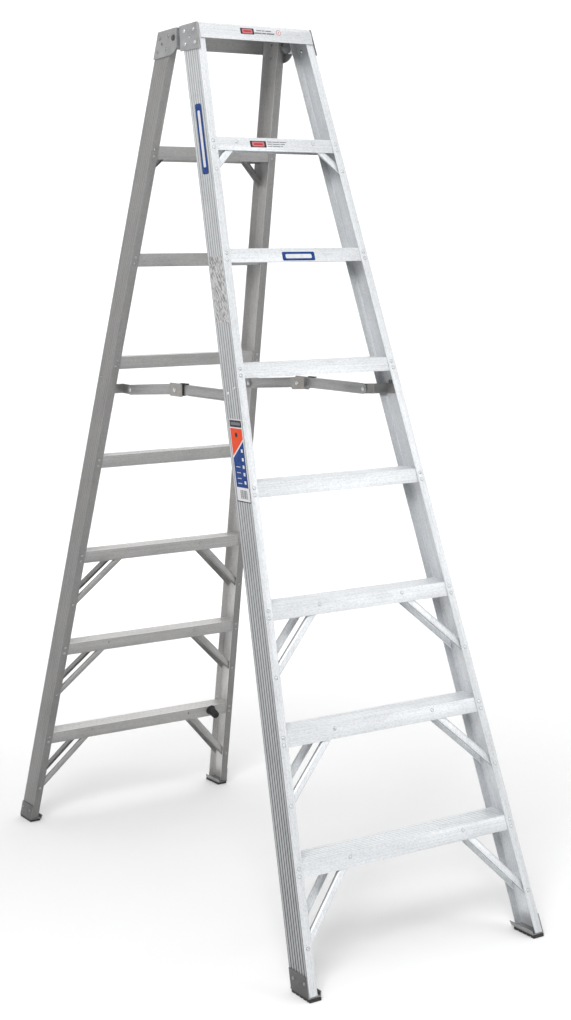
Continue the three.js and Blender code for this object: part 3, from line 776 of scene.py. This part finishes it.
def prism(bm, ends):
    """Closed prism between two outlines, given as lists of points."""
    low, high = [[bm.verts.new(point) for point in end] for end in ends]
    count = len(low)
    for i in range(count):
        j = (i + 1) % count
        bm.faces.new((low[i], low[j], high[j], high[i]))
    bm.faces.new(low[::-1])
    bm.faces.new(high)


def block(bm, corners, x0, x1):
    """Closed prism between two X planes with an outline in Y and Z."""
    prism(bm, [[Vector((x, y, z)) * MM for y, z in corners] for x in (x0, x1)])


def round_corners(corners, radius, steps=4):
    """Outline with each corner replaced by an arc."""
    out = []
    count = len(corners)
    for i in range(count):
        p = Vector(corners[i])
        to_last = (Vector(corners[i - 1]) - p).normalized()
        to_next = (Vector(corners[(i + 1) % count]) - p).normalized()
        half = to_last.angle(to_next) / 2
        start, end = p + to_last * radius / math.tan(half), p + to_next * radius / math.tan(half)
        centre = p + (to_last + to_next).normalized() * radius / math.sin(half)
        for k in range(steps + 1):
            t = k / steps
            q = start.lerp(end, t) - centre
            out.append(tuple(centre + q.normalized() * radius))
    return out


def link_frame(from_spot, to_spot):
    along = Vector((to_spot[0] - from_spot[0], to_spot[1] - from_spot[1])).normalized()
    return Vector(from_spot), along, Vector((-along.y, along.x))


def beside_link(pivot, spans):
    """Outline beside the middle joint: (distance toward a pivot, height) pairs."""
    origin, along, up = link_frame(MIDDLE, pivot)
    if along.x < 0:
        up = -up
    return [tuple(origin + along * s + up * h) for s, h in spans]


def spreader_heads(side):
    s = SIDE_NAME[side]
    out, back = Vector((side, 0, 0)), Vector((-side, 0, 0))
    outer, inner = FRONT_BRACKET_FACES
    steel_heads(f"front_pivot_heads_{s}", [(plate_spot(side, FRONT_PIVOT, outer), out),
                                           (plate_spot(side, FRONT_PIVOT, inner), back)],
                PIVOT_HEAD, "front_section", look="rivet_front")
    inner, outer = REAR_BRACKET_FACES
    steel_heads(f"rear_pivot_heads_{s}", [(plate_spot(side, REAR_PIVOT, inner), back),
                                          (plate_spot(side, REAR_PIVOT, outer), out)],
                [(r, h * 0.8) for r, h in PIVOT_HEAD], "rear_section", look="rivet_front")
    spot = beside_link(REAR_PIVOT, [CLIP_RIVET])[0]
    steel_heads(f"clip_rivets_outer_{s}", [(plate_spot(side, spot, OUTER_CLIP_FACE), out)],
                PIVOT_HEAD, f"front_link_{s}", look="rivet_front")
    steel_heads(f"clip_rivets_inner_{s}", [(plate_spot(side, spot, INNER_CLIP_FACES[0]), back)],
                PIVOT_HEAD, f"rear_link_{s}", look="rivet_front")


def link_plate(bm, side, pivot, spans, radius, faces):
    """Rounded plate beside the middle joint: a (distance, height) box between two X planes."""
    (s0, h0), (s1, h1) = spans
    corners = beside_link(pivot, [(s0, h0), (s1, h0), (s1, h1), (s0, h1)])
    block(bm, round_corners(corners, radius), side * faces[0], side * faces[1])


def inner_clip(side):
    """Cover plate on the joint's inboard side; it rides on the rear link."""
    s = SIDE_NAME[side]
    bm = bmesh.new()
    link_plate(bm, side, REAR_PIVOT, ((-20, -20), (46, 15)), 5, INNER_CLIP_FACES)
    new_piece(f"spreader_clip_inner_{s}", bm, MATERIAL["clip"], f"rear_link_{s}")


def black_guard(side):
    """Plastic guard over the front link's lips beside the joint."""
    s = SIDE_NAME[side]
    bm = bmesh.new()
    link_plate(bm, side, FRONT_PIVOT, ((25.5, 14.8), (58, 18)), 1, GUARD_TOP_FACES)
    link_plate(bm, side, FRONT_PIVOT, ((26.5, -16), (34, 16)), 1.5, GUARD_EDGE_FACES)
    new_piece(f"spreader_guard_{s}", bm, MATERIAL["black_plastic"], f"front_link_{s}")


for side in SIDES:
    spreader_heads(side)
    inner_clip(side)
    black_guard(side)
for section in SECTIONS:
    name = SECTION_NAME[section]
    rivets(f"bracket_rivets_{name}", web_places(section, BRACKET_RIVETS[section], 0), section)
for section in SECTIONS:
    places = web_places(section, (BRACKET_NUT[section],), BRACKET_INSIDE, False)
    steel_heads(f"bracket_nuts_{SECTION_NAME[section]}", places, nut(5.6 * MM, 4 * MM),
                SECTION_BODY[section], NUT_FLATS)


# ---------------------------------------------------------------- bumper

BUMPER_HEIGHT = 284 * MM
BUMPER_LENGTH = 35 * MM
BUMPER_SEGMENTS = 28


def bumper_rim():
    """Raised rim at the bumper's tip round a dark disc, painted shade for its hollow, and a collar
    at its foot.
    """
    low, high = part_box("bumper")
    normal = face_normal(REAR, False)
    base = on_face(REAR, (low.x + high.x) / 2, WEB_DEPTH - 2.6 * MM, BUMPER_HEIGHT)
    tip = base + normal * BUMPER_LENGTH
    rim = bmesh.new()
    profile = [(7.5 * MM, -0.3 * MM), (11.6 * MM, -0.3 * MM), (11.4 * MM, 1.2 * MM),
               (10.4 * MM, 2.2 * MM), (8.6 * MM, 2.2 * MM), (7.5 * MM, 1.2 * MM)]
    turned(rim, tip, normal, profile, BUMPER_SEGMENTS, closed=False)
    new_piece("bumper_rim", rim, MATERIAL["rubber"], "rear_section")
    hollow = bmesh.new()
    turned(hollow, tip, normal, [(7.8 * MM, -0.2 * MM), (7.8 * MM, 0.2 * MM)])
    new_piece("bumper_hollow_shade", hollow, MATERIAL["hole_shade"], "rear_section")
    collar = bmesh.new()
    profile = [(16 * MM, -0.2 * MM), (16 * MM, 2 * MM), (14.5 * MM, 3.4 * MM), (13 * MM, 3.4 * MM)]
    turned(collar, base, normal, profile, BUMPER_SEGMENTS)
    new_piece("bumper_collar", collar, MATERIAL["rubber"], "rear_section")


bumper_rim()


# ---------------------------------------------------------------- labels


def panel(bm, outline, place, layer):
    """Thin closed sheet: a 2D outline carried onto a face by place(u, v, height)."""
    prism(bm, [[place(u * MM, v * MM, h * MM) for u, v in outline] for h in layer])


def box_outline(u0, v0, u1, v1, radius=0.0):
    corners = [(u0, v0), (u1, v0), (u1, v1), (u0, v1)]
    return round_corners(corners, radius) if radius else corners


def lip_place(depth):
    return lambda u, v, h: on_face(FRONT, u, depth - h, v)


def web_place(side):
    return lambda u, v, h: Vector((side * (half_width(v) + h), plane_y(FRONT, u, v), v))


# Heights of a label's printed layers above the face, in millimetres
FILM_LAYER = (0.02, 0.1)
EDGE_LAYER = (0.02, 0.15)
BASE_LAYER = (0.05, 0.25)
INK_LAYER = (0.25, 0.35)
PANEL_LAYER = (0.25, 0.4)
MARK_LAYER = (0.35, 0.42)
SPOT_LAYER = (0.35, 0.45)
BAND_LAYER = (0.4, 0.5)


def sticker(name, outlines, ink, place, layer=BASE_LAYER):
    bm = bmesh.new()
    for outline in outlines:
        panel(bm, outline, place, layer)
    new_piece(name, bm, MATERIAL[ink], "front_section", smooth_angle=20)


def disc(u, v, radius, count=24):
    turns = [2 * math.pi * i / count for i in range(count)]
    return [(u + radius * math.cos(a), v + radius * math.sin(a)) for a in turns]


def cap_label():
    place = lip_place(CAP_LIP_FACE)
    sticker("cap_label_base", [box_outline(-47, 2320.5, -5, 2337, 1.5)], "ink_dark", place)
    panel_outline = box_outline(-42, 2322.6, -10, 2335, 3)
    sticker("cap_label_panel", [panel_outline], "ink_rose", place, PANEL_LAYER)
    band_outline = box_outline(-38, 2326.6, -14, 2331, 1)
    sticker("cap_label_band", [band_outline], "ink_red", place, BAND_LAYER)
    dashes = [box_outline(u, 2331, u + w, 2333.6) for u, w in ((3, 15), (20, 9), (31, 18))]
    dashes += [box_outline(u, 2323.4, u + w, 2327) for u, w in ((-4, 22), (20, 12), (34, 24))]
    sticker("cap_label_bars", dashes, "ink_grey", place)
    centre = (72, 2330)
    sticker("cap_label_disc", [disc(*centre, 7.4)], "ink_rose", place)
    sticker("cap_label_disc_field", [disc(*centre, 5.6)], "ink_white", place, INK_LAYER)
    sticker("cap_label_disc_spot", [disc(*centre, 2.2)], "ink_rose", place, SPOT_LAYER)


def step_label():
    place = lip_place(LIP_FACE)
    sticker("step_label_base", [box_outline(-78, 2015.5, -29, 2032.5, 1.5)], "ink_dark", place)
    panel_outline = box_outline(-72, 2017.8, -35, 2030.2, 3)
    sticker("step_label_panel", [panel_outline], "ink_rose", place, PANEL_LAYER)
    band_outline = box_outline(-67, 2021.8, -40, 2026.2, 1)
    sticker("step_label_band", [band_outline], "ink_red", place, BAND_LAYER)
    dashes = []
    for v, last in ((2029.4, 19), (2023.8, 14), (2018.2, 7)):
        dashes += [box_outline(u, v, u + w, v + 1.9) for u, w in ((-25, 14), (-9, 22), (15, last))]
    sticker("step_label_bars", dashes, "ink_grey", place)


def step_badge():
    place = lip_place(LIP_FACE)
    sticker("step_badge", [box_outline(-44, 1718, 56, 1741, 4)], "ink_blue", place)
    bar_outline = box_outline(-34, 1724, 46, 1735, 3)
    sticker("step_badge_bar", [bar_outline], "ink_white", place, PANEL_LAYER)


def rail_badge():
    place = web_place(LEFT)
    sticker("rail_badge", [box_outline(22, 1944, 52, 2130, 6)], "ink_blue", place)
    sticker("rail_badge_bar", [box_outline(31, 1962, 43, 2112, 4)], "ink_white", place, PANEL_LAYER)


def rail_patch():
    outline = box_outline(6, 1562, 70, 1732, 3)
    sticker("rail_patch", [outline], "etched", web_place(LEFT), FILM_LAYER)


def size_label():
    """Colour-blocked panel on the rail: dark head, orange and blue fields, pale foot."""
    place = web_place(LEFT)
    near, far = 7, 61
    edge = box_outline(3, 1121.5, 65.5, 1158, 2)
    sticker("size_label_edge", [edge], "ink_dark", place, EDGE_LAYER)
    sticker("size_label_base", [box_outline(4.5, 1124, 64, 1324, 2)], "ink_white", place)
    head = box_outline(near, 1304, far, 1321, 1)
    sticker("size_label_head", [head], "ink_dark", place, INK_LAYER)
    head_bar = box_outline(12, 1309, 56, 1316, 1)
    sticker("size_label_head_bar", [head_bar], "ink_grey", place, MARK_LAYER)
    orange = [(far, 1301), (near, 1301), (near, 1276), (far, 1232)]
    sticker("size_label_orange", [orange], "ink_orange", place, INK_LAYER)
    blue = [(near, 1271), (near, 1157), (far, 1157), (far, 1227)]
    sticker("size_label_blue", [blue], "ink_blue", place, INK_LAYER)
    sticker("size_label_spot", [disc(36, 1285, 6)], "ink_dark", place, MARK_LAYER)
    marks = [box_outline(14, z, 22, z + 8, 1) for z in (1243, 1222, 1204, 1186, 1166)]
    lines = [box_outline(34, z, 52, z + 1.6) for z in (1206, 1192, 1178, 1166)]
    sticker("size_label_marks", marks + lines, "ink_white", place, MARK_LAYER)
    stripes, u, gap = [], 16.0, 2.2
    for width in (2.0, 1.0, 3.0, 1.5, 1.0, 2.5, 1.0, 2.0):
        stripes.append(box_outline(u, 1130, u + width, 1151))
        u += width + gap
    sticker("size_label_stripes", stripes, "ink_dark", place, INK_LAYER)


cap_label()
step_label()
step_badge()
rail_badge()
rail_patch()
size_label()


# ---------------------------------------------------------------- stage

CAMERA_PLACE = (-2.3584, -4.01145, 1.66003)
CAMERA_AZIMUTH, CAMERA_ELEVATION, CAMERA_ROLL = -31.885, 5.222, -1.147
FLOOR_RADIUS = 8.0
FLOOR_SEGMENTS = 96
SWEEP = 4.0
SWEEP_STEPS = 16
WALL_TOP = 6.5
WORLD_STRENGTH = 0.68

# Direction's axis, start and end of the change, level at each
WORLD_RAMPS = (("X", -0.8, 0.2, 0.7, 1.0), ("Y", -0.7, 0.5, 0.8, 1.0))


def make_camera():
    azimuth, elevation = math.radians(CAMERA_AZIMUTH), math.radians(CAMERA_ELEVATION)
    roll = math.radians(CAMERA_ROLL)
    back = Vector((math.sin(azimuth) * math.cos(elevation),
                   -math.cos(azimuth) * math.cos(elevation), math.sin(elevation)))
    level = Vector((math.cos(azimuth), math.sin(azimuth), 0))
    up = back.cross(level)
    right = level * math.cos(roll) + up * math.sin(roll)
    top = up * math.cos(roll) - level * math.sin(roll)
    camera = bpy.data.cameras.new("camera")
    camera.lens = 59.295
    camera.sensor_width = 36
    camera.shift_y = -0.0719
    camera.clip_end = 100
    obj = bpy.data.objects.new("camera", camera)
    place = Matrix((right, top, back)).transposed().to_4x4()
    place.translation = Vector(CAMERA_PLACE)
    obj.matrix_world = place
    bpy.context.scene.collection.objects.link(obj)
    bpy.context.scene.camera = obj


def make_floor():
    """Round studio floor that sweeps up into a wall all the way round."""
    profile = [(0.0, 0.0), (FLOOR_RADIUS - 0.3, 0.0), (FLOOR_RADIUS, 0.0)]
    for i in range(1, SWEEP_STEPS + 1):
        a = math.pi / 2 * i / SWEEP_STEPS
        profile.append((FLOOR_RADIUS + SWEEP * math.sin(a), SWEEP * (1 - math.cos(a))))
    profile.append((FLOOR_RADIUS + SWEEP, WALL_TOP))
    bm = bmesh.new()
    turns = [2 * math.pi * i / FLOOR_SEGMENTS for i in range(FLOOR_SEGMENTS)]
    rings = []
    for radius, z in profile:
        ring = [Vector((radius * math.cos(a), radius * math.sin(a), z)) for a in turns]
        rings.append([bm.verts.new(p) for p in (ring if radius else ring[:1])])
    for low, high in zip(rings, rings[1:]):
        for i in range(FLOOR_SEGMENTS):
            j = (i + 1) % FLOOR_SEGMENTS
            if len(low) == 1:
                bm.faces.new((low[0], high[i], high[j]))
            else:
                bm.faces.new((low[i], high[i], high[j], low[j]))
    mesh = bpy.data.meshes.new("floor")
    bm.to_mesh(mesh)
    bm.free()
    mesh.shade_smooth()
    floor = bpy.data.objects.new("floor", mesh)
    bpy.context.scene.collection.objects.link(floor)
    n = Nodes("floor")
    n.set(Base_Color=(0.93, 0.93, 0.93, 1), Roughness=0.95, Specular_IOR_Level=0.1)
    paint(floor, n.material)


def make_world():
    """Soft studio surround: bright behind the ladder and to its right, dimmer elsewhere."""
    world = bpy.data.worlds.new("studio")
    bpy.context.scene.world = world
    world.use_nodes = True
    tree = world.node_tree
    coord = tree.nodes.new("ShaderNodeTexCoord")
    split = tree.nodes.new("ShaderNodeSeparateXYZ")
    tree.links.new(coord.outputs["Generated"], split.inputs["Vector"])
    times = tree.nodes.new("ShaderNodeMath")
    times.operation = "MULTIPLY"
    for factor, (axis, *limits) in zip(times.inputs, WORLD_RAMPS):
        ramp = tree.nodes.new("ShaderNodeMapRange")
        ramp.interpolation_type = "SMOOTHSTEP"
        for socket, value in zip(("From Min", "From Max", "To Min", "To Max"), limits):
            ramp.inputs[socket].default_value = value
        tree.links.new(split.outputs[axis], ramp.inputs["Value"])
        tree.links.new(ramp.outputs["Result"], factor)
    background = tree.nodes["Background"]
    tree.links.new(times.outputs[0], background.inputs["Color"])
    background.inputs["Strength"].default_value = WORLD_STRENGTH


def area_light(name, place, target, size, power):
    light = bpy.data.lights.new(name, "AREA")
    light.shape = "RECTANGLE"
    light.size, light.size_y = size
    light.energy = power
    obj = bpy.data.objects.new(name, light)
    obj.location = place
    obj.rotation_mode = "QUATERNION"
    obj.rotation_quaternion = (Vector(target) - Vector(place)).to_track_quat("-Z", "Y")
    bpy.context.scene.collection.objects.link(obj)


make_camera()
make_floor()
make_world()
area_light("key", (-3.0, -3.6, 4.6), (0, 0, 1.2), (2.4, 2.4), 190)
area_light("backdrop", (2.5, 3.0, 6.2), (6.5, 10.5, 1.5), (3.0, 3.0), 400)
area_light("fill", (3.4, -4.2, 3.0), (0, 0, 1.2), (2.5, 2.5), 30)
area_light("overhead", (0, -0.5, 6.2), (0, -0.5, 0), (5.0, 5.0), 80)
bpy.context.scene.view_settings.view_transform = "Standard"
